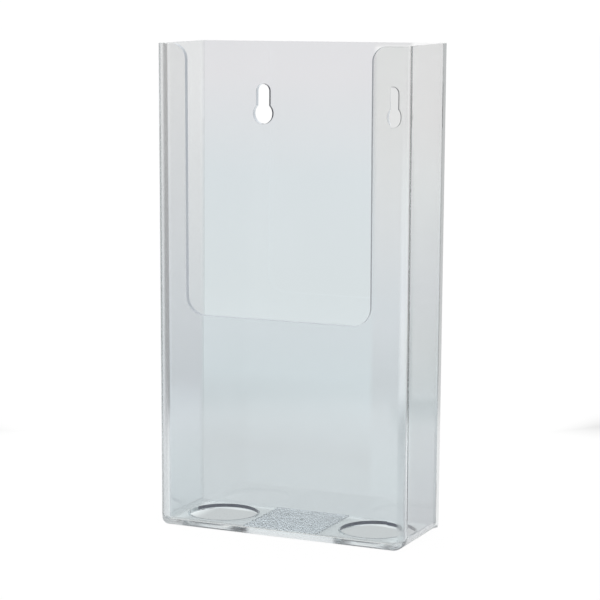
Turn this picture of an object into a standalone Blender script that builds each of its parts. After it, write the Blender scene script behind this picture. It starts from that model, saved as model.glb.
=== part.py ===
"""Wall-hung brochure rack: an open-topped clear pocket for slim folded leaflets.

The pocket is modelled as its separate walls: a base tray with two round openings, a back
panel with two hanging keyholes, two side walls that turn round into the front, a front
panel whose upper edge is a wide U, and the two narrow strips that flank that U.

Metres, +Z up, X to the right, the front faces -Y. The origin is the middle of the
footprint, at the height of the underside.
"""

import math

import bmesh
import bpy
from mathutils import Vector

MM = 0.001

# Overall size at the back rim, the slightly smaller base that the mould's draft leaves,
# and how far the rim falls towards the front
WIDTH = 110.0 * MM
DEPTH = 43.5 * MM
HEIGHT = 199.7 * MM
BASE_WIDTH = 109.8 * MM
BASE_DEPTH = 41.2 * MM
RIM_FALL = 1.0 * MM

# Sheet thicknesses and roundings
WALL = 2.2 * MM
FLOOR = 2.2 * MM
CORNER_RADIUS = 6.3 * MM
INNER_CORNER_RADIUS = 5.1 * MM
BASE_RADIUS = 4.0 * MM
SEAM = 0.3 * MM

# U-shaped hand opening in the front
WINDOW_HALF_WIDTH = 40.5 * MM
WINDOW_BOTTOM = 89.5 * MM
WINDOW_BOTTOM_RADIUS = 8.0 * MM
WINDOW_TOP_RADIUS = 6.2 * MM

# Hanging keyholes in the back panel: a round hole below, a slot above it
KEYHOLE_LEFT_X = -25.5 * MM
KEYHOLE_RIGHT_X = 35.2 * MM
KEYHOLE_CENTRE_Z = 169.6 * MM
KEYHOLE_RADIUS = 4.4 * MM
KEYHOLE_SLOT_HALF_WIDTH = 3.0 * MM
KEYHOLE_TOP_Z = 181.9 * MM

# Round openings and ribbed pad in the floor
FLOOR_HOLE_X = 34.55 * MM
FLOOR_HOLE_Y = 3.3 * MM
FLOOR_HOLE_RADIUS = 14.5 * MM
PAD_HALF_WIDTH = 16.3 * MM
PAD_FRONT_Y = -15.9 * MM
PAD_BACK_Y = 19.2 * MM
PAD_SHEET = 0.4 * MM
RIB_COUNT = 13
RIB_HEIGHT = 0.5 * MM
RIB_FILL = 0.55

# Where one wall ends and the next begins
TRAY_TOP = 7.0 * MM
SIDE_BAND = WALL + INNER_CORNER_RADIUS
STRIP_BOTTOM = WINDOW_BOTTOM + WINDOW_BOTTOM_RADIUS

BACK = DEPTH / 2
FRONT = -DEPTH / 2
HALF_WIDTH = WIDTH / 2
REACH = 20.0 * MM
ARC_STEPS = 8
HOLE_STEPS = 40
MERGE_DISTANCE = 1e-6

CLEAR_COLOUR = (0.80, 0.84, 0.85, 1.0)
PAD_COLOUR = (0.70, 0.73, 0.77, 1.0)
CLEAR_ROUGHNESS = 0.06
PAD_ROUGHNESS = 0.30
CLEAR_IOR = 1.59


def clear_scene():
    for item in list(bpy.data.objects):
        bpy.data.objects.remove(item, do_unlink=True)


def new_collection(name):
    collection = bpy.data.collections.new(name)
    bpy.context.scene.collection.children.link(collection)
    return collection


def arc(centre, radius, start, end, steps=ARC_STEPS):
    """Points on a circular arc, angles in degrees, both ends included."""
    points = []
    for step in range(steps + 1):
        angle = math.radians(start + (end - start) * step / steps)
        points.append((centre[0] + radius * math.cos(angle), centre[1] + radius * math.sin(angle)))
    return points


def mirrored(points):
    """An outline's right half and its mirror image, as one closed loop."""
    return points + [(-x, y) for x, y in reversed(points)]


def plan_outline(half_width, front, back, radius):
    """Seen from above: square at the back, round at the two front corners."""
    corner = arc((half_width - radius, front + radius), radius, -90, 0)
    return mirrored(corner + [(half_width, back)])


def front_outline(half_width, bottom, top, radius):
    """Seen from the front: square at the rim, round at the two base edges."""
    corner = arc((half_width - radius, bottom + radius), radius, -90, 0)
    return mirrored(corner + [(half_width, top)])


def window_outline():
    """The U opening, whose sides flare out round into the rim."""
    low = arc((WINDOW_HALF_WIDTH - WINDOW_BOTTOM_RADIUS, STRIP_BOTTOM), WINDOW_BOTTOM_RADIUS, -90, 0)
    flare_x = WINDOW_HALF_WIDTH + WINDOW_TOP_RADIUS
    high = arc((flare_x, HEIGHT - WINDOW_TOP_RADIUS), WINDOW_TOP_RADIUS, 180, 90)
    return mirrored(low + high + [(flare_x, HEIGHT + REACH)])


def keyhole_outline(centre_x):
    """Round hole with a narrower slot rising from it."""
    meet = math.degrees(math.acos(KEYHOLE_SLOT_HALF_WIDTH / KEYHOLE_RADIUS))
    centre = (centre_x, KEYHOLE_CENTRE_Z)
    hole = arc(centre, KEYHOLE_RADIUS, 180 - meet, 360 + meet, 2 * ARC_STEPS)
    slot_centre = (centre_x, KEYHOLE_TOP_Z - KEYHOLE_SLOT_HALF_WIDTH)
    return hole + arc(slot_centre, KEYHOLE_SLOT_HALF_WIDTH, 0, 180)


def floor_hole_outline(centre_x):
    circle = arc((centre_x, FLOOR_HOLE_Y), FLOOR_HOLE_RADIUS, 0, 360, HOLE_STEPS)[:-1]
    return [before_draft(x, y) for x, y in circle]


def prism(name, outline, start, end, axis, collection):
    """A flat outline pushed from start to end along Z, or along Y with the outline upright."""
    curve = bpy.data.curves.new(name, "CURVE")
    curve.dimensions = "2D"
    curve.fill_mode = "BOTH"
    curve.extrude = (end - start) / 2
    spline = curve.splines.new("POLY")
    spline.points.add(len(outline) - 1)
    for point, (x, y) in zip(spline.points, outline):
        point.co = (x, y, 0.0, 1.0)
    spline.use_cyclic_u = True
    shape = bpy.data.objects.new(name + "_outline", curve)
    collection.objects.link(shape)
    middle = (start + end) / 2
    if axis == "Z":
        shape.location = (0.0, 0.0, middle)
    else:
        shape.location = (0.0, middle, 0.0)
        shape.rotation_euler = (math.radians(90), 0.0, 0.0)
    bpy.context.view_layer.update()
    mesh = bpy.data.meshes.new_from_object(shape.evaluated_get(bpy.context.evaluated_depsgraph_get()))
    mesh.name = name
    mesh.transform(shape.matrix_world)
    weld(mesh)
    bpy.data.objects.remove(shape, do_unlink=True)
    solid = bpy.data.objects.new(name, mesh)
    collection.objects.link(solid)
    return solid


def block(name, low, high, collection):
    """A plain box between two corners."""
    mesh = bpy.data.meshes.new(name)
    shape = bmesh.new()
    bmesh.ops.create_cube(shape, size=1.0)
    size = Vector(high) - Vector(low)
    bmesh.ops.scale(shape, vec=size, verts=shape.verts)
    bmesh.ops.translate(shape, vec=(Vector(low) + Vector(high)) / 2, verts=shape.verts)
    shape.to_mesh(mesh)
    shape.free()
    solid = bpy.data.objects.new(name, mesh)
    collection.objects.link(solid)
    return solid


def weld(mesh):
    shape = bmesh.new()
    shape.from_mesh(mesh)
    bmesh.ops.remove_doubles(shape, verts=shape.verts, dist=MERGE_DISTANCE)
    bmesh.ops.recalc_face_normals(shape, faces=shape.faces)
    shape.to_mesh(mesh)
    shape.free()


def combine(target, tool, operation):
    """Boolean the target with the tool and keep the result as its mesh."""
    modifier = target.modifiers.new(operation.title(), "BOOLEAN")
    modifier.operation = operation
    modifier.solver = "EXACT"
    modifier.object = tool
    bpy.context.view_layer.update()
    result = bpy.data.meshes.new_from_object(target.evaluated_get(bpy.context.evaluated_depsgraph_get()))
    target.modifiers.clear()
    target.data = result
    weld(result)


def hide_cutter(cutter):
    cutter.hide_render = True
    cutter.display_type = "WIRE"


def pocket_form(name, inset, radius, floor, top, collection):
    """The rounded form of the pocket, drawn inset from its outside and up from its floor."""
    half_width = HALF_WIDTH - inset
    plan = plan_outline(half_width, FRONT + inset, BACK - inset, radius)
    form = prism(name, plan, floor, top, "Z", collection)
    upright = front_outline(half_width, floor, top, BASE_RADIUS - inset)
    face = prism(name + "_face", upright, FRONT - REACH, BACK + REACH, "Y", collection)
    combine(form, face, "INTERSECT")
    bpy.data.objects.remove(face, do_unlink=True)
    return form


def draft(mesh):
    """Narrow the form evenly towards its base and slope its rim down towards the front."""
    for vertex in mesh.vertices:
        drop = (HEIGHT - vertex.co.z) / HEIGHT
        forward = (BACK - vertex.co.y) / DEPTH
        vertex.co.x *= 1 - drop * (WIDTH - BASE_WIDTH) / WIDTH
        vertex.co.y = BACK - forward * (DEPTH - drop * (DEPTH - BASE_DEPTH))
        vertex.co.z *= 1 - forward * RIM_FALL / HEIGHT
    mesh.update()


def before_draft(x, y):
    """Where a point of the floor has to be so that the draft brings it to x, y."""
    return x * WIDTH / BASE_WIDTH, BACK - (BACK - y) * DEPTH / BASE_DEPTH


def clear_plastic(name, colour, roughness):
    material = bpy.data.materials.new(name)
    material.use_nodes = True
    shader = material.node_tree.nodes["Principled BSDF"]
    shader.inputs["Base Color"].default_value = colour
    shader.inputs["Roughness"].default_value = roughness
    shader.inputs["Metallic"].default_value = 0.0
    shader.inputs["IOR"].default_value = CLEAR_IOR
    shader.inputs["Transmission Weight"].default_value = 1.0
    return material


def make_shell(cutters):
    """The whole moulding: outer form less its cavity, U opening, keyholes and floor openings."""
    shell = pocket_form("shell", 0.0, CORNER_RADIUS, 0.0, HEIGHT, cutters)
    cavity = pocket_form("cavity", WALL, INNER_CORNER_RADIUS, FLOOR, HEIGHT + REACH, cutters)
    window = prism("window", window_outline(), FRONT - REACH, 0.0, "Y", cutters)
    tools = [cavity, window]
    for side, centre_x in (("left", KEYHOLE_LEFT_X), ("right", KEYHOLE_RIGHT_X)):
        outline = keyhole_outline(centre_x)
        tools.append(prism(side + "_keyhole", outline, 0.0, BACK + REACH, "Y", cutters))
    for side, sign in (("left", -1), ("right", 1)):
        outline = floor_hole_outline(sign * FLOOR_HOLE_X)
        tools.append(prism(side + "_floor_hole", outline, -REACH, TRAY_TOP, "Z", cutters))
    for tool in tools:
        combine(shell, tool, "DIFFERENCE")
        hide_cutter(tool)
    return shell


def cut_wall(name, shell, low, high, parts, cutters):
    """One wall of the moulding: the part of the shell that lies between two corners."""
    wall = bpy.data.objects.new(name, shell.data.copy())
    parts.objects.link(wall)
    zone = block(name + "_zone", low, high, cutters)
    combine(wall, zone, "INTERSECT")
    hide_cutter(zone)
    draft(wall.data)
    wall.data.name = name
    wall.data.materials.clear()
    wall.data.materials.append(clear_plastic(name + "_plastic", CLEAR_COLOUR, CLEAR_ROUGHNESS))
    wall.data.shade_smooth()
    wall.data.set_sharp_from_angle(angle=math.radians(30))
    return wall


def make_pad(parts, cutters):
    """The ribbed pad that lies on the floor between the two round openings."""
    low = FLOOR + SEAM
    top = low + PAD_SHEET
    half_width, front = before_draft(PAD_HALF_WIDTH, PAD_FRONT_Y)
    half_width, back = before_draft(PAD_HALF_WIDTH, PAD_BACK_Y)
    pad = block("ribbed_pad", (-half_width, front, low), (half_width, back, top), parts)
    pitch = (back - front) / RIB_COUNT
    for index in range(RIB_COUNT):
        middle = front + pitch * (index + 0.5)
        half = pitch * RIB_FILL / 2
        ridge = [(middle - half, top - PAD_SHEET / 2), (middle + half, top - PAD_SHEET / 2)]
        ridge.append((middle, top + RIB_HEIGHT))
        rib = rib_prism("rib", ridge, cutters)
        combine(pad, rib, "UNION")
        bpy.data.objects.remove(rib, do_unlink=True)
    draft(pad.data)
    pad.data.materials.clear()
    pad.data.materials.append(clear_plastic("ribbed_pad_plastic", PAD_COLOUR, PAD_ROUGHNESS))
    return pad


def rib_prism(name, section, collection):
    """A triangular rib that runs across the pad, from a section given in Y and Z."""
    rib = prism(name, section, -PAD_HALF_WIDTH + SEAM, PAD_HALF_WIDTH - SEAM, "Z", collection)
    for vertex in rib.data.vertices:
        y, z, x = vertex.co
        vertex.co = (x, y, z)
    weld(rib.data)
    return rib


def main():
    clear_scene()
    parts = new_collection("brochure_rack")
    cutters = new_collection("cutters")
    shell = make_shell(cutters)
    hide_cutter(shell)

    edge = HALF_WIDTH + REACH
    inner = HALF_WIDTH - SIDE_BAND
    back_face = BACK - WALL
    walls_from = TRAY_TOP + SEAM
    far_back = BACK + REACH
    far_front = FRONT - REACH
    over = HEIGHT + REACH
    zones = {
        "base_tray": ((-edge, far_front, -REACH), (edge, far_back, TRAY_TOP)),
        "back_panel": ((-edge, back_face, walls_from), (edge, far_back, over)),
        "left_side_wall": ((-edge, far_front, walls_from), (-inner - SEAM, back_face - SEAM, over)),
        "right_side_wall": ((inner + SEAM, far_front, walls_from), (edge, back_face - SEAM, over)),
        "front_panel": ((-inner, far_front, walls_from), (inner, 0.0, STRIP_BOTTOM)),
        "left_front_strip": ((-inner, far_front, STRIP_BOTTOM + SEAM), (0.0, 0.0, over)),
        "right_front_strip": ((0.0, far_front, STRIP_BOTTOM + SEAM), (inner, 0.0, over)),
    }
    for name, (low, high) in zones.items():
        cut_wall(name, shell, low, high, parts, cutters)
    make_pad(parts, cutters)


main()
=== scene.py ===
import math

import bmesh
import bpy
from mathutils import Matrix, Vector


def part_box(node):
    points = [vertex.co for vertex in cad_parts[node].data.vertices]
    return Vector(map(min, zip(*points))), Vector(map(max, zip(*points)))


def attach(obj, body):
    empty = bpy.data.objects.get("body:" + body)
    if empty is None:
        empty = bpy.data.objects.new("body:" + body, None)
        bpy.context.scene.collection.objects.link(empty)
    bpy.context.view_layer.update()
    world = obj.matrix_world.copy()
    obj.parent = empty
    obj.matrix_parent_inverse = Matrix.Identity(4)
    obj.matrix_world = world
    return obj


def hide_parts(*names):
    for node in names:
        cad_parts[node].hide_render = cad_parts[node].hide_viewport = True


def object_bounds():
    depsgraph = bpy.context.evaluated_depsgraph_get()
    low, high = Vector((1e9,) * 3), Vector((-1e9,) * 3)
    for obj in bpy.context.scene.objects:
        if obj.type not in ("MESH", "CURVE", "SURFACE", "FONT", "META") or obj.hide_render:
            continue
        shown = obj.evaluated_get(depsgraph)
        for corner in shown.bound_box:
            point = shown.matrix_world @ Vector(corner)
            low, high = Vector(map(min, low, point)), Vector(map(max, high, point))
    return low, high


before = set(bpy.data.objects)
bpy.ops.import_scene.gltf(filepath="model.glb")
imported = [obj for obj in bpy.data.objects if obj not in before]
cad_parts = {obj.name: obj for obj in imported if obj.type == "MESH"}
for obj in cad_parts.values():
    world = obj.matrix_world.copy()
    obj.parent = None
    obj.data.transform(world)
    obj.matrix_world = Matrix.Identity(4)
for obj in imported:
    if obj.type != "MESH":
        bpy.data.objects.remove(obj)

MM = 0.001


def plain(corners):
    return [[round(float(value), 6) for value in corner] for corner in corners]


CAD_BOUNDS = plain(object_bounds())

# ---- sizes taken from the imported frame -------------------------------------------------
LOW, HIGH = (Vector(corner) for corner in CAD_BOUNDS)
HALF_WIDTH = (HIGH.x - LOW.x) / 2
HEIGHT = HIGH.z - LOW.z
FRONT, BACK = LOW.y, HIGH.y
PANEL_LOW, PANEL_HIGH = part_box("back_panel")
PAD_LOW, PAD_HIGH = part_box("ribbed_pad")
WALL = PANEL_HIGH.y - PANEL_LOW.y

# ---- sizes that the frame's boxes don't give -------------------------------------------
BASE_HALF_WIDTH = 54.9 * MM
BASE_DEPTH = 41.2 * MM
RIM_FALL = 1.0 * MM
FLOOR = 2.2 * MM
CORNER_RADIUS = 6.3 * MM
INNER_CORNER_RADIUS = 5.1 * MM
BASE_SIDE_RADIUS = 4.0 * MM
BASE_FRONT_RADIUS = 1.2 * MM
BASE_BACK_RADIUS = 0.8 * MM
BACK_EDGE_RADIUS = 0.5 * MM
INNER_CREASE_RADIUS = 0.4 * MM
RIM_ROUND = 0.22 * MM
WINDOW_HALF_WIDTH = 40.5 * MM
WINDOW_BOTTOM = 89.5 * MM
WINDOW_BOTTOM_RADIUS = 8.0 * MM
WINDOW_TOP_RADIUS = 6.2 * MM
KEYHOLE_LEFT_X = -25.5 * MM
KEYHOLE_RIGHT_X = 35.2 * MM
KEYHOLE_CENTRE_Z = 169.6 * MM
KEYHOLE_RADIUS = 4.4 * MM
KEYHOLE_SLOT_HALF_WIDTH = 3.0 * MM
KEYHOLE_TOP_Z = 181.9 * MM
FLOOR_HOLE_X = 34.55 * MM
FLOOR_HOLE_Y = 3.3 * MM
FLOOR_HOLE_RADIUS = 14.5 * MM
FLOOR_HOLE_CHAMFER = 0.75 * MM
RIB_COUNT = 13
RIB_HEIGHT = 0.5 * MM
RIB_SHEET = 0.1 * MM
RIB_GAP = 0.05 * MM
REACH = 20.0 * MM

# ---- fineness of the mesh --------------------------------------------------------------
RIB_STEPS = 10
FILLET_SEGMENTS = 14
RIM_SEGMENTS = 3
KEYHOLE_STEPS = 48
SLOT_STEPS = 32
WINDOW_STEPS = 20
FLOOR_HOLE_STEPS = 128
MERGE_DISTANCE = 1e-6
FLAT_ANGLE = math.radians(0.05)
RIM_ANGLE = math.radians(50)
SHELL_SHARP_ANGLE = math.radians(35)
RIB_SHARP_ANGLE = math.radians(40)

# ---- material slots of the shell (after CLEAR: painted shade and light of the cuts), and what tells a cut wall or edge by its normal ------
CLEAR, DARK, SOFT, GREY, PALE, MILD = range(6)
KEYHOLE_FACING = 0.7
CUT_FACING = 0.5
SLANT_LOW, SLANT_HIGH = 0.1, 0.99


# ---- the plastic's faint cast with painted shade, darker towards the base, by share of the height, from the base to the rim ---
BACK_CAST_AND_SHADE = (
    (0.0, (0.64, 0.66, 0.675)), (0.14, (0.65, 0.67, 0.685)), (0.3, (0.75, 0.82, 0.84)),
    (0.48, (0.72, 0.782, 0.80)), (0.72, (0.73, 0.785, 0.81)), (0.93, (0.79, 0.79, 0.81)),
)
BACK_STRIP_CAST_AND_SHADE = (
    (0.0, (0.65, 0.67, 0.685)), (0.45, (0.73, 0.78, 0.80)), (0.85, (0.99, 0.995, 0.99)),
    (0.99, (0.99, 0.995, 0.99)), (0.993, (0.80, 0.80, 0.81)),
)
BACK_END_CAST_AND_SHADE = (
    (0.0, (0.60, 0.62, 0.64)), (0.12, (0.57, 0.60, 0.62)), (0.2, (0.55, 0.58, 0.60)),
    (0.24, (0.66, 0.70, 0.72)), (0.28, (0.88, 0.92, 0.935)), (0.38, (0.885, 0.92, 0.93)),
    (0.5, (0.87, 0.91, 0.935)), (0.69, (0.95, 0.985, 0.99)), (0.85, (1.0, 1.0, 1.0)),
)
LEFT_CAST_AND_SHADE = (
    (0.0, (0.62, 0.65, 0.67)), (0.12, (0.67, 0.70, 0.72)), (0.25, (0.74, 0.77, 0.80)),
    (0.45, (0.76, 0.80, 0.82)), (0.93, (0.925, 0.935, 0.94)),
)
FRONT_CAST_AND_SHADE = (
    (0.011, (0.98, 1.0, 1.0)), (0.02, (0.88, 0.94, 0.955)), (0.14, (0.89, 0.94, 0.95)),
    (0.26, (0.88, 0.91, 0.922)), (0.45, (0.975, 0.98, 0.995)), (0.93, (0.95, 0.95, 0.95)),
)
FRONT_STRIP_CAST_AND_SHADE = ((0.45, (0.98, 0.985, 1.0)), (0.85, (0.81, 0.815, 0.815)))
RIGHT_CAST_AND_SHADE = (
    (0.0, (0.69, 0.72, 0.74)), (0.12, (0.77, 0.80, 0.82)), (0.25, (0.88, 0.92, 0.93)),
    (0.5, (1.0, 1.0, 1.0)),
)
END_PAINTED_LIGHT = (0.93, 0.96, 0.96)

# ---- painted shade of the ribs from groove to crest, and painted shade and light of the cut edges, varied by noise ---
RIB_PAINTED_SHADE = ((0.3, (0.96, 0.98, 1.0)), (0.8, (0.96, 0.98, 1.0)), (0.9, (0.58, 0.60, 0.67)))
DARK_PAINTED_SHADE = ((0.3, (0.025, 0.04, 0.09)), (0.7, (0.04, 0.055, 0.11)))
SOFT_PAINTED_SHADE = ((0.3, (0.33, 0.36, 0.41)), (0.7, (0.40, 0.43, 0.47)))
GREY_PAINTED_SHADE = ((0.3, (0.42, 0.46, 0.52)), (0.7, (0.48, 0.52, 0.56)))
PALE_PAINTED_LIGHT = ((0.3, (0.86, 0.88, 0.90)), (0.7, (0.92, 0.93, 0.94)))
# name, painted shade colours (painted light in the pale one) and glow of the slots after CLEAR, in
# their order
EDGES = (
    ("painted_dark_shade", DARK_PAINTED_SHADE, 0.0),
    ("painted_soft_shade", SOFT_PAINTED_SHADE, 0.06),
    ("painted_grey_shade", GREY_PAINTED_SHADE, 0.2),
    ("painted_pale_light", PALE_PAINTED_LIGHT, 0.5),
    ("painted_mild_shade", GREY_PAINTED_SHADE, 0.36),
)
EDGE_GLOW_COLOUR = (0.92, 0.97, 1.0, 1)
EDGE_ROUGHNESS = 0.3
EDGE_NOISE_SCALE = 90.0
RIB_ROUGHNESS = 0.05
RIB_CREST = (0.8, 0.9)
RIB_CREST_CLEARNESS = 0.85
PLASTIC_IOR = 1.59
CLOUD_SCALE = 18.0
CLOUD_DETAIL = 3.0
CLOUD_SPAN = (0.3, 0.7)
CLOUD_DARKEST = 0.985
ABSORPTION_COLOUR = (0.55, 0.75, 0.80, 1)
ABSORPTION = 2.0

# ---- zones of the plastic's painted shade and light: where the smooth step between two of them starts and ends ---
BACK_SPAN = (BACK - WALL - 0.4 * MM, BACK - WALL)
BACK_STRIP_SPAN = (23.5 * MM, 26.5 * MM)
BACK_END_SPAN = (39.5 * MM, 42.0 * MM)
FRONT_STRIP_SPAN = (36 * MM, 40 * MM)
FRONT_STRIP_RISE = (0.45, 0.5)
LEFT_SPAN = (WALL - HALF_WIDTH, CORNER_RADIUS - HALF_WIDTH)
OUTER_RIGHT_SPAN = (HALF_WIDTH - 1.2 * MM, HALF_WIDTH - 0.6 * MM)
OUTER_RIGHT_START = (FRONT + 2.5 * MM, FRONT + 4.0 * MM)
INNER_RIGHT_SPAN = (HALF_WIDTH - WALL - 0.6 * MM, HALF_WIDTH - WALL - 0.1 * MM)
INNER_RIGHT_START = (FRONT + 6.5 * MM, FRONT + 7.5 * MM)
END_FACE_SPAN = (HALF_WIDTH - 0.9 * MM, HALF_WIDTH - 0.5 * MM)
END_FACE_START = (BACK - WALL - 1.7 * MM, BACK - WALL - 0.9 * MM)

# ---- faint haze along the base and the front corners, to soften what shows through them -
BASE_HAZE = 0.28
BASE_HAZE_RISE = (1.8 * MM, 3.4 * MM)
BASE_HAZE_SIDE = (HALF_WIDTH - 7 * MM, HALF_WIDTH - 5 * MM)
BASE_HAZE_FRONT = (-14.0 * MM, -12.5 * MM)
CORNER_HAZE = 0.22
LEFT_CORNER_SPAN = (4 * MM - HALF_WIDTH, 6 * MM - HALF_WIDTH)
RIGHT_CORNER_SPAN = (HALF_WIDTH - 3.5 * MM, HALF_WIDTH - 2.5 * MM)
RIGHT_CORNER_RISE = (0.3, 0.55)
CORNER_DEPTH = (FRONT + 5 * MM, FRONT + 7 * MM)

# ---- studio ----------------------------------------------------------------------------
# sectors of the compass: the heading in degrees, anticlockwise from straight behind the
# rack, then how far to each side the sector is full, and where it has faded out
BRIGHT_SECTOR = (24.0, 32.0, 50.0)
DIM_SECTOR = (-34.0, 12.0, 28.0)
WORLD_BRIGHT = 1.04
WORLD_SIDE = 0.55
WORLD_TOP = 1.0
DIM_LEVEL = 0.45
# the floor's glow is painted light, brightest behind and near the rack; its dimming under the rack
# is a painted contact shadow
FLOOR_ALBEDO = 0.04
FLOOR_GLOW = 0.975
FLOOR_GLOW_SIDE = 0.40
FLOOR_ROUGHNESS = 0.9
FLOOR_HALF_SIZE = 30.0
FLOOR_DROP = 0.0004
NEAR_FLOOR = (0.23, 0.36)
CONTACT_SHADE = 0.60
CONTACT_EDGE = (0.78, 0.94)
CONTACT_FRONT_SHADE = 0.75
CONTACT_FRONT_SPAN = (-13.0 * MM, -9.5 * MM)
OVERHEAD_SPAN = (0.35, 0.7)
LIGHT_BOUNCES = 96

# ---- camera ----------------------------------------------------------------------------
LENS = 123.02
SENSOR_WIDTH = 36.0
CLIP_START, CLIP_END = 0.01, 50.0
CAMERA_PLACE = (0.34181, -0.75649, 0.20959)
CAMERA_YAW = math.radians(24.25)
CAMERA_PITCH = math.radians(-7.86)
CAMERA_ROLL = math.radians(0.41)


def arc(centre, radius, start, end, steps):
    points = []
    for step in range(steps + 1):
        angle = math.radians(start + (end - start) * step / steps)
        points.append((centre[0] + radius * math.cos(angle), centre[1] + radius * math.sin(angle)))
    return points


def mirrored(points):
    return points + [(-x, y) for x, y in reversed(points)]


def link(name, shape):
    mesh = bpy.data.meshes.new(name)
    shape.to_mesh(mesh)
    shape.free()
    solid = bpy.data.objects.new(name, mesh)
    bpy.context.scene.collection.objects.link(solid)
    return solid


def prism(name, outline, start, end, axis="Z"):
    """A flat outline pushed from start to end along Z, or along Y with the outline upright."""
    shape = bmesh.new()
    if axis == "Z":
        ring = [shape.verts.new((x, y, start)) for x, y in outline]
        push = Vector((0, 0, end - start))
    else:
        ring = [shape.verts.new((x, start, z)) for x, z in outline]
        push = Vector((0, end - start, 0))
    face = shape.faces.new(ring)
    grown = bmesh.ops.extrude_face_region(shape, geom=[face])
    moved = [item for item in grown["geom"] if isinstance(item, bmesh.types.BMVert)]
    bmesh.ops.translate(shape, vec=push, verts=moved)
    bmesh.ops.recalc_face_normals(shape, faces=shape.faces)
    return link(name, shape)


def applied(solid):
    """Replace an object's mesh by its evaluated mesh and clear its modifiers."""
    bpy.context.view_layer.update()
    evaluated = solid.evaluated_get(bpy.context.evaluated_depsgraph_get())
    result = bpy.data.meshes.new_from_object(evaluated)
    solid.modifiers.clear()
    solid.data = result
    return solid


def combine(target, tool, operation):
    """Boolean the target with the tool, use the tool up, and merge faces that lie flat."""
    modifier = target.modifiers.new(operation.title(), "BOOLEAN")
    modifier.operation = operation
    modifier.solver = "EXACT"
    modifier.object = tool
    applied(target)
    bpy.data.objects.remove(tool, do_unlink=True)
    shape = bmesh.new()
    shape.from_mesh(target.data)
    bmesh.ops.remove_doubles(shape, verts=shape.verts, dist=MERGE_DISTANCE)
    bmesh.ops.dissolve_limit(shape, angle_limit=FLAT_ANGLE, verts=shape.verts, edges=shape.edges)
    shape.to_mesh(target.data)
    shape.free()


def rounded_form(name, low, high, radii):
    """A box with its own radius on each family of edges: bevel widths come from edge weights."""
    shape = bmesh.new()
    bmesh.ops.create_cube(shape, size=1.0)
    bmesh.ops.scale(shape, vec=high - low, verts=shape.verts)
    bmesh.ops.translate(shape, vec=(low + high) / 2, verts=shape.verts)
    largest = max(radii.values())
    weights = shape.edges.layers.float.new("bevel_weight_edge")
    for edge in shape.edges:
        middle = (edge.verts[0].co + edge.verts[1].co) / 2
        along = edge.verts[1].co - edge.verts[0].co
        front = middle.y < (low.y + high.y) / 2
        if abs(along.z) > MM:
            radius = radii["corner"] if front else radii["back"]
        elif middle.z > (low.z + high.z) / 2:
            radius = 0.0
        elif abs(along.y) > MM:
            radius = radii["base_side"]
        else:
            radius = radii["base_front"] if front else radii["base_back"]
        edge[weights] = radius / largest
    solid = link(name, shape)
    bevel = solid.modifiers.new("Rounding", "BEVEL")
    bevel.limit_method = "WEIGHT"
    bevel.width = largest
    bevel.segments = FILLET_SEGMENTS
    bevel.use_clamp_overlap = False
    return applied(solid)


def keyhole_outline(centre_x):
    """A round hole with a narrower slot rising from it."""
    meet = math.degrees(math.acos(KEYHOLE_SLOT_HALF_WIDTH / KEYHOLE_RADIUS))
    hole = arc((centre_x, KEYHOLE_CENTRE_Z), KEYHOLE_RADIUS, 180 - meet, 360 + meet, KEYHOLE_STEPS)
    slot_z = KEYHOLE_TOP_Z - KEYHOLE_SLOT_HALF_WIDTH
    return hole + arc((centre_x, slot_z), KEYHOLE_SLOT_HALF_WIDTH, 0, 180, SLOT_STEPS)


def window_outline():
    """The U-shaped opening, whose sides flare out round into the rim."""
    foot_z = WINDOW_BOTTOM + WINDOW_BOTTOM_RADIUS
    foot_x = WINDOW_HALF_WIDTH - WINDOW_BOTTOM_RADIUS
    low = arc((foot_x, foot_z), WINDOW_BOTTOM_RADIUS, -90, 0, WINDOW_STEPS)
    flare_x = WINDOW_HALF_WIDTH + WINDOW_TOP_RADIUS
    flare_z = HEIGHT - WINDOW_TOP_RADIUS
    high = arc((flare_x, flare_z), WINDOW_TOP_RADIUS, 180, 90, WINDOW_STEPS)
    return mirrored(low + high + [(flare_x, HEIGHT + REACH)])


def draft(mesh):
    """Narrow the form evenly towards its base and slope its rim down towards the front."""
    depth = BACK - FRONT
    for vertex in mesh.vertices:
        drop = (HEIGHT - vertex.co.z) / HEIGHT
        forward = (BACK - vertex.co.y) / depth
        vertex.co.x *= 1 - drop * (HALF_WIDTH - BASE_HALF_WIDTH) / HALF_WIDTH
        vertex.co.y = BACK - forward * (depth - drop * (depth - BASE_DEPTH))
        vertex.co.z *= 1 - forward * RIM_FALL / HEIGHT
    mesh.update()


def before_draft(x, y):
    """Where a point of the floor has to be so that the draft brings it to x, y."""
    return x * HALF_WIDTH / BASE_HALF_WIDTH, BACK - (BACK - y) * (BACK - FRONT) / BASE_DEPTH


def make_ribs():
    """The field of fine rounded ribs on the floor, as one wavy slab just clear of it."""
    half_width, low_y = before_draft(PAD_HIGH.x, PAD_LOW.y)
    half_width, high_y = before_draft(PAD_HIGH.x, PAD_HIGH.y)
    pitch = (high_y - low_y) / RIB_COUNT
    foot = FLOOR + RIB_GAP
    section = [(low_y, foot)]
    for index in range(RIB_COUNT):
        for step in range(RIB_STEPS + 1):
            part = step / RIB_STEPS
            if index < RIB_COUNT - 1 and step == RIB_STEPS:
                continue
            rise = RIB_SHEET + RIB_HEIGHT * abs(math.sin(math.pi * part))
            section.append((low_y + pitch * (index + part), foot + rise))
    section.append((high_y, foot))
    shape = bmesh.new()
    ring = [shape.verts.new((-half_width, y, z)) for y, z in section]
    face = shape.faces.new(ring)
    grown = bmesh.ops.extrude_face_region(shape, geom=[face])
    moved = [item for item in grown["geom"] if isinstance(item, bmesh.types.BMVert)]
    bmesh.ops.translate(shape, vec=(2 * half_width, 0, 0), verts=moved)
    bmesh.ops.recalc_face_normals(shape, faces=shape.faces)
    ribs = link("floor_ribs", shape)
    draft(ribs.data)
    ribs.data.shade_smooth()
    ribs.data.set_sharp_from_angle(angle=RIB_SHARP_ANGLE)
    return ribs


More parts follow.
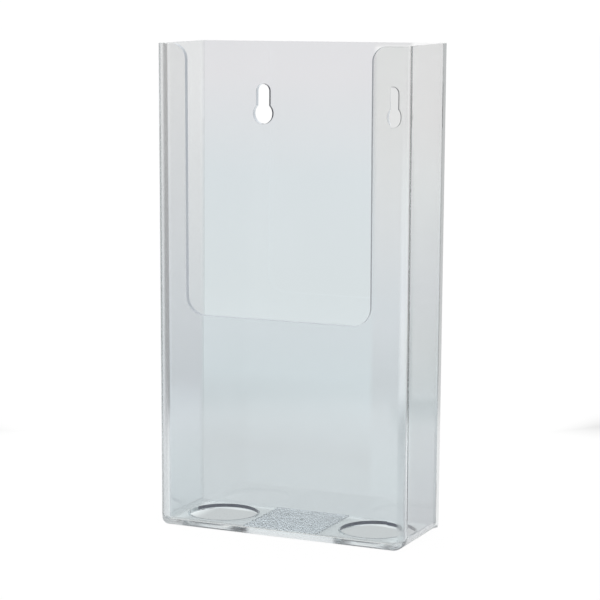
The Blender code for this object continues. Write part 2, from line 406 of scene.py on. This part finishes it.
def floor_hole_tool(centre_x):
    """A round cutter that widens below, so that it also chamfers the hole's lower edge."""
    flare = FLOOR_HOLE_CHAMFER + 2 * MM
    levels = ((-2 * MM, flare), (FLOOR_HOLE_CHAMFER, 0.0), (3 * FLOOR, 0.0))
    shape = bmesh.new()
    rings = []
    for z, extra in levels:
        centre = (centre_x, FLOOR_HOLE_Y)
        circle = arc(centre, FLOOR_HOLE_RADIUS + extra, 0, 360, FLOOR_HOLE_STEPS)[:-1]
        rings.append([shape.verts.new((*before_draft(x, y), z)) for x, y in circle])
    count = len(rings[0])
    for low, high in zip(rings, rings[1:]):
        for index in range(count):
            after = (index + 1) % count
            shape.faces.new((low[index], low[after], high[after], high[index]))
    shape.faces.new(rings[0])
    shape.faces.new(rings[-1])
    bmesh.ops.recalc_face_normals(shape, faces=shape.faces)
    return link("floor_hole", shape)


def make_shell(materials):
    """The whole moulding as one clear shell, with its openings cut and its edges rounded."""
    outside = {"corner": CORNER_RADIUS, "back": BACK_EDGE_RADIUS, "base_side": BASE_SIDE_RADIUS,
               "base_front": BASE_FRONT_RADIUS, "base_back": BASE_BACK_RADIUS}
    inside = {"corner": INNER_CORNER_RADIUS, "back": INNER_CREASE_RADIUS,
              "base_side": BASE_SIDE_RADIUS - WALL, "base_front": INNER_CREASE_RADIUS,
              "base_back": INNER_CREASE_RADIUS}
    shell = rounded_form("pocket_shell", Vector((-HALF_WIDTH, FRONT, 0)),
                         Vector((HALF_WIDTH, BACK, HEIGHT)), outside)
    cavity = rounded_form("cavity", Vector((-HALF_WIDTH + WALL, FRONT + WALL, FLOOR)),
                          Vector((HALF_WIDTH - WALL, BACK - WALL, HEIGHT + REACH)), inside)
    combine(shell, cavity, "DIFFERENCE")
    combine(shell, prism("window", window_outline(), FRONT - REACH, 0.0, "Y"), "DIFFERENCE")
    for x in (KEYHOLE_LEFT_X, KEYHOLE_RIGHT_X):
        combine(shell, prism("keyhole", keyhole_outline(x), 0.0, BACK + REACH, "Y"), "DIFFERENCE")
    for sign in (-1, 1):
        combine(shell, floor_hole_tool(sign * FLOOR_HOLE_X), "DIFFERENCE")
    for material in materials:
        shell.data.materials.append(material)
    mark_cuts(shell.data)
    draft(shell.data)
    bevel = shell.modifiers.new("Edge", "BEVEL")
    bevel.limit_method = "ANGLE"
    bevel.angle_limit = RIM_ANGLE
    bevel.width = RIM_ROUND
    bevel.segments = RIM_SEGMENTS
    bevel.harden_normals = False
    applied(shell)
    mark_cut_edges(shell.data)
    shell.data.shade_smooth()
    shell.data.set_sharp_from_angle(angle=SHELL_SHARP_ANGLE)
    weighted = shell.modifiers.new("Normals", "WEIGHTED_NORMAL")
    weighted.mode = "FACE_AREA"
    weighted.weight = 100
    weighted.keep_sharp = True
    applied(shell)
    return shell


def mark_cuts(mesh):
    """Give the walls cut through the sheet their own slots of painted shade and light, before the
    draft moves them.
    """
    hole_y = before_draft(0, FLOOR_HOLE_Y)[1]
    keyhole_foot = KEYHOLE_CENTRE_Z - KEYHOLE_RADIUS - MM
    window_side = WINDOW_HALF_WIDTH + WINDOW_TOP_RADIUS
    for face in mesh.polygons:
        place, facing = face.center, face.normal
        aside = abs(place.x)
        in_back = place.y > BACK - WALL and aside < HALF_WIDTH - 2 * WALL
        in_front = place.y < FRONT + WALL and place.z > WINDOW_BOTTOM - MM
        if abs(facing.y) < KEYHOLE_FACING and in_back:
            if keyhole_foot < place.z < KEYHOLE_TOP_Z + MM:
                middle = KEYHOLE_LEFT_X if place.x < 0 else KEYHOLE_RIGHT_X
                left_slot = MILD if place.x < 0 else PALE
                # painted shade on each keyhole's right side, paler painted slots on its left side
                face.material_index = DARK if place.x > middle - MM else left_slot
        elif abs(facing.y) < CUT_FACING and in_front:
            if aside < window_side and place.z < HEIGHT - MM / 10:
                face.material_index = GREY
        if abs(facing.z) < CUT_FACING and place.z < FLOOR and aside < HALF_WIDTH - CORNER_RADIUS:
            if FRONT + WALL < place.y < BACK - WALL / 2:
                # painted shade on the floor holes' walls: dark on the far side, softer on the near
                # side
                far = place.y > hole_y - FLOOR_HOLE_RADIUS / 3
                face.material_index = DARK if far else SOFT


def mark_cut_edges(mesh):
    """Give the rounded edges of the cuts a slot of painted shade that suits the walls they lead
    to.
    """
    keyhole_reach = KEYHOLE_TOP_Z - KEYHOLE_CENTRE_Z + MM
    window_side = WINDOW_HALF_WIDTH + WINDOW_TOP_RADIUS
    for face in mesh.polygons:
        place, facing = face.center, face.normal
        aside = abs(place.x)
        slanted = SLANT_LOW < abs(facing.y) < SLANT_HIGH
        if slanted and place.y > BACK - WALL - MM / 2 and aside < HALF_WIDTH - 2 * WALL:
            if abs(place.z - KEYHOLE_CENTRE_Z) < keyhole_reach:
                face.material_index = DARK
        elif slanted and place.y < FRONT + WALL + MM and place.z > WINDOW_BOTTOM - MM:
            if aside < window_side and place.z < HEIGHT - 2 * MM:
                face.material_index = GREY
        if SLANT_LOW < abs(facing.z) < SLANT_HIGH and FLOOR / 2 < place.z < FLOOR + MM / 2:
            from_hole = math.hypot(aside - FLOOR_HOLE_X, place.y - FLOOR_HOLE_Y)
            if from_hole < FLOOR_HOLE_RADIUS + MM:
                face.material_index = SOFT


def value_ramp(tree, low, high, source, start, end):
    """A smooth step from start to end as the source goes from low to high."""
    node = tree.nodes.new("ShaderNodeMapRange")
    node.interpolation_type = "SMOOTHSTEP"
    node.inputs["From Min"].default_value = low
    node.inputs["From Max"].default_value = high
    node.inputs["To Min"].default_value = start
    node.inputs["To Max"].default_value = end
    tree.links.new(source, node.inputs["Value"])
    return node.outputs["Result"]


def math_node(tree, operation, first, second):
    """The result of a sum on two values, each a number or another node's output."""
    node = tree.nodes.new("ShaderNodeMath")
    node.operation = operation
    for socket, value in zip(node.inputs, (first, second)):
        if isinstance(value, (int, float)):
            socket.default_value = value
        else:
            tree.links.new(value, socket)
    return node.outputs[0]


def colour_ramp(tree, source, stops):
    """A colour that runs between the stops, each a place from 0 to 1 and its colour."""
    node = tree.nodes.new("ShaderNodeValToRGB")
    node.color_ramp.interpolation = "LINEAR"
    elements = node.color_ramp.elements
    while len(elements) < len(stops):
        elements.new(1.0)
    for element, (place, colour) in zip(elements, stops):
        element.position = place
        element.color = (*colour, 1.0)
    tree.links.new(source, node.inputs["Fac"])
    return node.outputs["Color"]


def mix_colour(tree, factor, first, second, blend="MIX"):
    """Two colours mixed by a factor, each a plain colour or another node's output."""
    node = tree.nodes.new("ShaderNodeMix")
    node.data_type = "RGBA"
    node.blend_type = blend
    if isinstance(factor, (int, float)):
        node.inputs["Factor"].default_value = factor
    else:
        tree.links.new(factor, node.inputs["Factor"])
    for name, value in (("A", first), ("B", second)):
        socket = [item for item in node.inputs if item.name == name and item.type == "RGBA"][0]
        if isinstance(value, tuple):
            socket.default_value = (*value, 1.0)
        else:
            tree.links.new(value, socket)
    return [item for item in node.outputs if item.type == "RGBA"][0]


def plastic_cast_and_shade(tree, place, x, y, height):
    """Painted shade over the faint cast of the clear plastic, which changes by wall and by height.
    """
    back = colour_ramp(tree, height, BACK_CAST_AND_SHADE)
    front = colour_ramp(tree, height, FRONT_CAST_AND_SHADE)
    back_end = colour_ramp(tree, height, BACK_END_CAST_AND_SHADE)
    back_strip = colour_ramp(tree, height, BACK_STRIP_CAST_AND_SHADE)
    left = colour_ramp(tree, height, LEFT_CAST_AND_SHADE)
    right = colour_ramp(tree, height, RIGHT_CAST_AND_SHADE)
    front_strip = colour_ramp(tree, height, FRONT_STRIP_CAST_AND_SHADE)
    outer_right = value_ramp(tree, *OUTER_RIGHT_SPAN, x, 0.0, 1.0)
    past_round = value_ramp(tree, *OUTER_RIGHT_START, y, 0.0, 1.0)
    outer_right = math_node(tree, "MULTIPLY", outer_right, past_round)
    inner_right = value_ramp(tree, *INNER_RIGHT_SPAN, x, 0.0, 1.0)
    past_corner = value_ramp(tree, *INNER_RIGHT_START, y, 0.0, 1.0)
    inner_right = math_node(tree, "MULTIPLY", inner_right, past_corner)
    in_right = math_node(tree, "MAXIMUM", outer_right, inner_right)
    on_strip = value_ramp(tree, *FRONT_STRIP_SPAN, x, 0.0, 1.0)
    strip_rise = value_ramp(tree, *FRONT_STRIP_RISE, height, 0.0, 1.0)
    on_strip = math_node(tree, "MULTIPLY", on_strip, strip_rise)
    back = mix_colour(tree, value_ramp(tree, *BACK_STRIP_SPAN, x, 0.0, 1.0), back, back_strip)
    back = mix_colour(tree, value_ramp(tree, *BACK_END_SPAN, x, 0.0, 1.0), back, back_end)
    front = mix_colour(tree, on_strip, front, front_strip)
    tint = mix_colour(tree, value_ramp(tree, *LEFT_SPAN, x, 1.0, 0.0), front, left)
    tint = mix_colour(tree, in_right, tint, right)
    tint = mix_colour(tree, value_ramp(tree, *BACK_SPAN, y, 0.0, 1.0), tint, back)
    noise = tree.nodes.new("ShaderNodeTexNoise")
    noise.inputs["Scale"].default_value = CLOUD_SCALE
    noise.inputs["Detail"].default_value = CLOUD_DETAIL
    tree.links.new(place, noise.inputs["Vector"])
    cloud = value_ramp(tree, *CLOUD_SPAN, noise.outputs["Fac"], CLOUD_DARKEST, 1.0)
    grey = tree.nodes.new("ShaderNodeCombineColor")
    for socket in grey.inputs[:3]:
        tree.links.new(cloud, socket)
    return mix_colour(tree, 1.0, tint, grey.outputs[0], "MULTIPLY")


def plastic_haze(tree, x, y, z, height):
    """The roughness of the clear plastic: none, but for a faint haze at base and corners."""
    base = value_ramp(tree, *BASE_HAZE_RISE, z, BASE_HAZE, 0.0)
    aside = math_node(tree, "ABSOLUTE", x, 0.0)
    near_side = value_ramp(tree, *BASE_HAZE_SIDE, aside, 0.0, 1.0)
    near_front = value_ramp(tree, *BASE_HAZE_FRONT, y, 1.0, 0.0)
    base = math_node(tree, "MULTIPLY", base, math_node(tree, "MAXIMUM", near_side, near_front))
    front_part = value_ramp(tree, *CORNER_DEPTH, y, 1.0, 0.0)
    left = value_ramp(tree, *LEFT_CORNER_SPAN, x, CORNER_HAZE, 0.0)
    left = math_node(tree, "MULTIPLY", left, front_part)
    right = value_ramp(tree, *RIGHT_CORNER_SPAN, x, 0.0, CORNER_HAZE)
    right = math_node(tree, "MULTIPLY", right, front_part)
    low_part = value_ramp(tree, *RIGHT_CORNER_RISE, height, 1.0, 0.0)
    right = math_node(tree, "MULTIPLY", right, low_part)
    return math_node(tree, "MAXIMUM", base, math_node(tree, "MAXIMUM", left, right))


def clear_material():
    """Clear polystyrene with painted shade in its colour, and an opaque pale band of painted light
    down the right end of the back panel.
    """
    material = bpy.data.materials.new("clear_polystyrene")
    material.use_nodes = True
    tree = material.node_tree
    shader = tree.nodes["Principled BSDF"]
    shader.inputs["IOR"].default_value = PLASTIC_IOR
    place = tree.nodes.new("ShaderNodeTexCoord").outputs["Object"]
    parts = tree.nodes.new("ShaderNodeSeparateXYZ")
    tree.links.new(place, parts.inputs["Vector"])
    x, y, z = parts.outputs
    height = math_node(tree, "DIVIDE", z, HEIGHT)
    # painted shade over the plastic's faint cast, by wall and by height
    tint = plastic_cast_and_shade(tree, place, x, y, height)
    # an opaque pale band of painted light down the right end of the back panel
    end_face = value_ramp(tree, *END_FACE_SPAN, x, 0.0, 1.0)
    near_back = value_ramp(tree, *END_FACE_START, y, 0.0, 1.0)
    end_face = math_node(tree, "MULTIPLY", end_face, near_back)
    tint = mix_colour(tree, end_face, tint, END_PAINTED_LIGHT)
    clearness = math_node(tree, "SUBTRACT", 1.0, end_face)
    tree.links.new(tint, shader.inputs["Base Color"])
    tree.links.new(clearness, shader.inputs["Transmission Weight"])
    tree.links.new(plastic_haze(tree, x, y, z, height), shader.inputs["Roughness"])
    absorb = tree.nodes.new("ShaderNodeVolumeAbsorption")
    absorb.inputs["Color"].default_value = ABSORPTION_COLOUR
    absorb.inputs["Density"].default_value = ABSORPTION
    tree.links.new(absorb.outputs["Volume"], tree.nodes["Material Output"].inputs["Volume"])
    return material


def edge_material(name, tints, glow):
    """The walls cut through the sheet, made opaque: their dark colours are painted shade, their
    pale ones painted light. Their glow stands for light that the sheet guides.
    """
    material = bpy.data.materials.new(name)
    material.use_nodes = True
    tree = material.node_tree
    shader = tree.nodes["Principled BSDF"]
    shader.inputs["Roughness"].default_value = EDGE_ROUGHNESS
    shader.inputs["IOR"].default_value = PLASTIC_IOR
    shader.inputs["Emission Color"].default_value = EDGE_GLOW_COLOUR
    shader.inputs["Emission Strength"].default_value = glow
    where = tree.nodes.new("ShaderNodeTexCoord")
    noise = tree.nodes.new("ShaderNodeTexNoise")
    noise.inputs["Scale"].default_value = EDGE_NOISE_SCALE
    tree.links.new(where.outputs["Object"], noise.inputs["Vector"])
    tree.links.new(colour_ramp(tree, noise.outputs["Fac"], tints), shader.inputs["Base Color"])
    return material


def rib_material():
    """Clear plastic whose rib crests carry painted shade: a little darker and less clear than the
    rest.
    """
    material = bpy.data.materials.new("ribbed_polystyrene")
    material.use_nodes = True
    tree = material.node_tree
    shader = tree.nodes["Principled BSDF"]
    shader.inputs["Roughness"].default_value = RIB_ROUGHNESS
    shader.inputs["IOR"].default_value = PLASTIC_IOR
    where = tree.nodes.new("ShaderNodeTexCoord")
    parts = tree.nodes.new("ShaderNodeSeparateXYZ")
    tree.links.new(where.outputs["Object"], parts.inputs["Vector"])
    pitch = (PAD_HIGH.y - PAD_LOW.y) / RIB_COUNT
    along = math_node(tree, "SUBTRACT", parts.outputs["Y"], PAD_LOW.y)
    along = math_node(tree, "DIVIDE", along, pitch)
    wave = math_node(tree, "SINE", math_node(tree, "MULTIPLY", along, math.pi), 0.0)
    crest = math_node(tree, "ABSOLUTE", wave, 0.0)
    foot = FLOOR + RIB_GAP
    upper = value_ramp(tree, foot, foot + RIB_SHEET, parts.outputs["Z"], 0.0, 1.0)
    # painted shade: the rib crests darker and less clear
    tint = mix_colour(tree, upper, (1.0, 1.0, 1.0), colour_ramp(tree, crest, RIB_PAINTED_SHADE))
    tree.links.new(tint, shader.inputs["Base Color"])
    clearness = value_ramp(tree, *RIB_CREST, crest, 1.0, RIB_CREST_CLEARNESS)
    tree.links.new(clearness, shader.inputs["Transmission Weight"])
    return material


def light_sector(tree, flat, sector):
    """1 inside a sector of the compass around the rack, falling smoothly to 0 outside it."""
    heading, inner, outer = (math.radians(angle) for angle in sector)
    dot = tree.nodes.new("ShaderNodeVectorMath")
    dot.operation = "DOT_PRODUCT"
    dot.inputs[1].default_value = (-math.sin(heading), math.cos(heading), 0)
    tree.links.new(flat, dot.inputs[0])
    return value_ramp(tree, math.cos(outer), math.cos(inner), dot.outputs["Value"], 0.0, 1.0)


def light_level(tree, direction, side, bright):
    """How bright the studio is towards a direction: the level and the direction's flat length."""
    flat = tree.nodes.new("ShaderNodeVectorMath")
    flat.operation = "MULTIPLY"
    flat.inputs[1].default_value = (1, 1, 0)
    tree.links.new(direction, flat.inputs[0])
    length = tree.nodes.new("ShaderNodeVectorMath")
    length.operation = "LENGTH"
    tree.links.new(flat.outputs[0], length.inputs[0])
    unit = tree.nodes.new("ShaderNodeVectorMath")
    unit.operation = "NORMALIZE"
    tree.links.new(flat.outputs[0], unit.inputs[0])
    lit = light_sector(tree, unit.outputs[0], BRIGHT_SECTOR)
    level = value_ramp(tree, 0.0, 1.0, lit, side, bright)
    dim = light_sector(tree, unit.outputs[0], DIM_SECTOR)
    keep = value_ramp(tree, 0.0, 1.0, dim, 1.0, DIM_LEVEL)
    return math_node(tree, "MULTIPLY", level, keep), length.outputs["Value"]


def make_floor():
    """A pale floor that glows like a lit sweep as painted light, and is dimmer right under the
    rack by a painted contact shadow.
    """
    shape = bmesh.new()
    bmesh.ops.create_grid(shape, x_segments=1, y_segments=1, size=FLOOR_HALF_SIZE)
    floor = link("studio_floor", shape)
    floor.location.z = -FLOOR_DROP
    material = bpy.data.materials.new("pale_floor")
    material.use_nodes = True
    tree = material.node_tree
    shader = tree.nodes["Principled BSDF"]
    shader.inputs["Base Color"].default_value = (FLOOR_ALBEDO, FLOOR_ALBEDO, FLOOR_ALBEDO, 1)
    shader.inputs["Roughness"].default_value = FLOOR_ROUGHNESS
    shader.inputs["Specular IOR Level"].default_value = 0.0
    shader.inputs["Emission Color"].default_value = (1, 1, 1, 1)
    place = tree.nodes.new("ShaderNodeTexCoord").outputs["Object"]
    # painted light: the floor's glow, brightest behind the rack and near it, dimmer to the sides
    level, length = light_level(tree, place, FLOOR_GLOW_SIDE, FLOOR_GLOW)
    near = value_ramp(tree, *NEAR_FLOOR, length, FLOOR_GLOW, 0.0)
    glow = math_node(tree, "MAXIMUM", level, near)
    under = tree.nodes.new("ShaderNodeSeparateXYZ")
    tree.links.new(place, under.inputs["Vector"])
    x, y, z = under.outputs
    # painted contact shadow: the glow dims over the rack's footprint, less under its front
    aside = math_node(tree, "ABSOLUTE", x, 0.0)
    aside = math_node(tree, "DIVIDE", aside, BASE_HALF_WIDTH)
    from_centre = math_node(tree, "SUBTRACT", y, BACK - BASE_DEPTH / 2)
    ahead = math_node(tree, "ABSOLUTE", from_centre, 0.0)
    ahead = math_node(tree, "DIVIDE", ahead, BASE_DEPTH / 2)
    from_middle = math_node(tree, "MAXIMUM", aside, ahead)
    shade = value_ramp(tree, *CONTACT_EDGE, from_middle, CONTACT_SHADE, 1.0)
    front_shade = value_ramp(tree, *CONTACT_FRONT_SPAN, y, CONTACT_FRONT_SHADE, CONTACT_SHADE)
    shade = math_node(tree, "MAXIMUM", shade, front_shade)
    glow = math_node(tree, "MULTIPLY", glow, shade)
    tree.links.new(glow, shader.inputs["Emission Strength"])
    floor.data.materials.append(material)
    return floor


def make_studio_light():
    """Soft light from all round: brightest behind the rack, dimmer to the sides."""
    world = bpy.data.worlds.new("studio")
    bpy.context.scene.world = world
    world.use_nodes = True
    tree = world.node_tree
    toward = tree.nodes.new("ShaderNodeTexCoord").outputs["Generated"]
    level, length = light_level(tree, toward, WORLD_SIDE, WORLD_BRIGHT)
    up = tree.nodes.new("ShaderNodeSeparateXYZ")
    tree.links.new(toward, up.inputs["Vector"])
    overhead = value_ramp(tree, *OVERHEAD_SPAN, up.outputs["Z"], 0.0, WORLD_TOP)
    level = math_node(tree, "MAXIMUM", level, overhead)
    background = tree.nodes["Background"]
    background.inputs["Color"].default_value = (1, 1, 1, 1)
    tree.links.new(level, background.inputs["Strength"])
    scene = bpy.context.scene
    scene.view_settings.view_transform = "Standard"
    scene.cycles.max_bounces = LIGHT_BOUNCES
    scene.cycles.transmission_bounces = LIGHT_BOUNCES
    scene.cycles.glossy_bounces = LIGHT_BOUNCES


def make_camera():
    data = bpy.data.cameras.new("camera")
    data.sensor_width = SENSOR_WIDTH
    data.lens = LENS
    data.clip_start = CLIP_START
    data.clip_end = CLIP_END
    camera = bpy.data.objects.new("camera", data)
    bpy.context.scene.collection.objects.link(camera)
    upright = Matrix.Rotation(math.radians(90) + CAMERA_PITCH, 4, "X")
    turn = Matrix.Rotation(CAMERA_YAW, 4, "Z") @ upright
    roll = Matrix.Rotation(CAMERA_ROLL, 4, "Z")
    camera.matrix_world = Matrix.Translation(CAMERA_PLACE) @ turn @ roll
    bpy.context.scene.camera = camera


make_camera()
edges = [edge_material(name, tints, glow) for name, tints, glow in EDGES]
shell = make_shell([clear_material(), *edges])
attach(shell, "root")
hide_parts(*[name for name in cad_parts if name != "ribbed_pad"])
ribs = make_ribs()
ribs.data.materials.append(rib_material())
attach(ribs, "root")
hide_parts("ribbed_pad")
make_floor()
make_studio_light()
